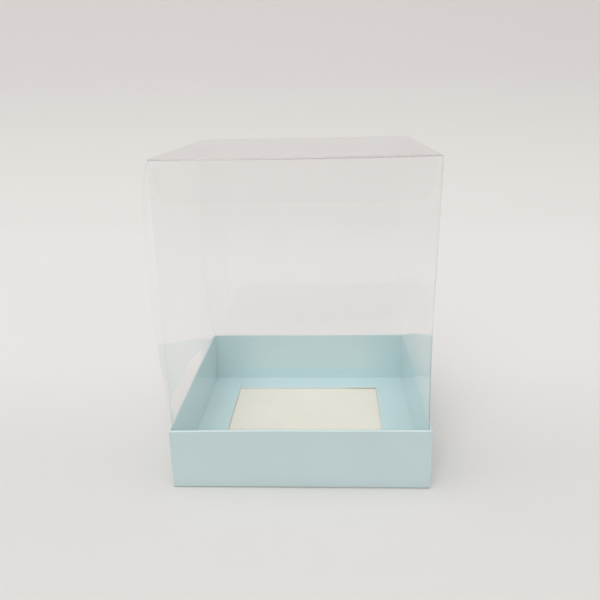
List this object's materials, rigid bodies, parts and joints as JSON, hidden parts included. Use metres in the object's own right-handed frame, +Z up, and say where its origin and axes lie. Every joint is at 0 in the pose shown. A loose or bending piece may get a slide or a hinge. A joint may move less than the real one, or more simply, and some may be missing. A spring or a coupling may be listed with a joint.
{
  "type": "clear folding cake box",
  "caption": "Clear folded plastic cover with a tuck-in lid, standing inside a low folded card tray, for a small cake or gift.",
  "frame": {"origin": "middle of the tray's underside, on the surface that the box stands on", "axes": "+Z up, +Y to the back, where the lid hinges, +X to the right seen from the front"},
  "size_m": [0.1093, 0.1, 0.1265],
  "materials": {
    "clear_sheet": "clear, glossy, 0.3 mm",
    "blue_card": "smooth matt pale blue",
    "cream_board": "uncoated cream reverse of the card"
  },
  "bodies": {
    "tray": {"tray_floor": "cream_board", "tray_front_outer_wall": "blue_card", "tray_front_rim_fold": "blue_card", "tray_front_inner_wall": "blue_card", "tray_front_floor_flap": "blue_card", "tray_front_left_corner_tab": "blue_card", "tray_front_right_corner_tab": "blue_card", "tray_back_outer_wall": "blue_card", "tray_back_rim_fold": "blue_card", "tray_back_inner_wall": "blue_card", "tray_back_floor_flap": "blue_card", "tray_back_left_corner_tab": "blue_card", "tray_back_right_corner_tab": "blue_card", "tray_left_outer_wall": "blue_card", "tray_left_rim_fold": "blue_card", "tray_left_inner_wall": "blue_card", "tray_left_floor_flap": "blue_card", "tray_right_outer_wall": "blue_card", "tray_right_rim_fold": "blue_card", "tray_right_inner_wall": "blue_card", "tray_right_floor_flap": "blue_card"},
    "cover": {"cover_front_wall": "clear_sheet", "cover_left_wall": "clear_sheet", "cover_right_wall": "clear_sheet", "cover_back_wall": "clear_sheet", "cover_glue_flap": "clear_sheet"},
    "lid": {"lid_panel": "clear_sheet"},
    "tuck_flap": {"lid_tuck_flap": "clear_sheet"},
    "left_dust_flap": {"dust_flap_left": "clear_sheet"},
    "right_dust_flap": {"dust_flap_right": "clear_sheet"}
  },
  "joints": [
    {"name": "cover_lift", "type": "slide", "parent": "tray", "child": "cover", "axis": [0, 0, 1], "range_m": [0, 0.13]},
    {"name": "lid_open", "type": "hinge", "parent": "cover", "child": "lid", "pos_m": [0, 0.0487, 0.1262], "axis": [-1, 0, 0], "range_deg": [0, 180]},
    {"name": "tuck_flap_fold", "type": "hinge", "parent": "lid", "child": "tuck_flap", "pos_m": [0, -0.04825, 0.1262], "axis": [-1, 0, 0], "range_deg": [0, 60]},
    {"name": "left_dust_flap_fold", "type": "hinge", "parent": "cover", "child": "left_dust_flap", "pos_m": [-0.0491, 0, 0.12585], "axis": [0, -1, 0], "range_deg": [0, 90]},
    {"name": "right_dust_flap_fold", "type": "hinge", "parent": "cover", "child": "right_dust_flap", "pos_m": [0.0491, 0, 0.12585], "axis": [0, 1, 0], "range_deg": [0, 90]}
  ],
  "couplings": [
    {"joint": "tuck_flap_fold", "follows": "lid_open", "ratio": 0.33333},
    {"joint": "left_dust_flap_fold", "follows": "lid_open", "ratio": 0.5},
    {"joint": "right_dust_flap_fold", "follows": "lid_open", "ratio": 0.5}
  ]
}
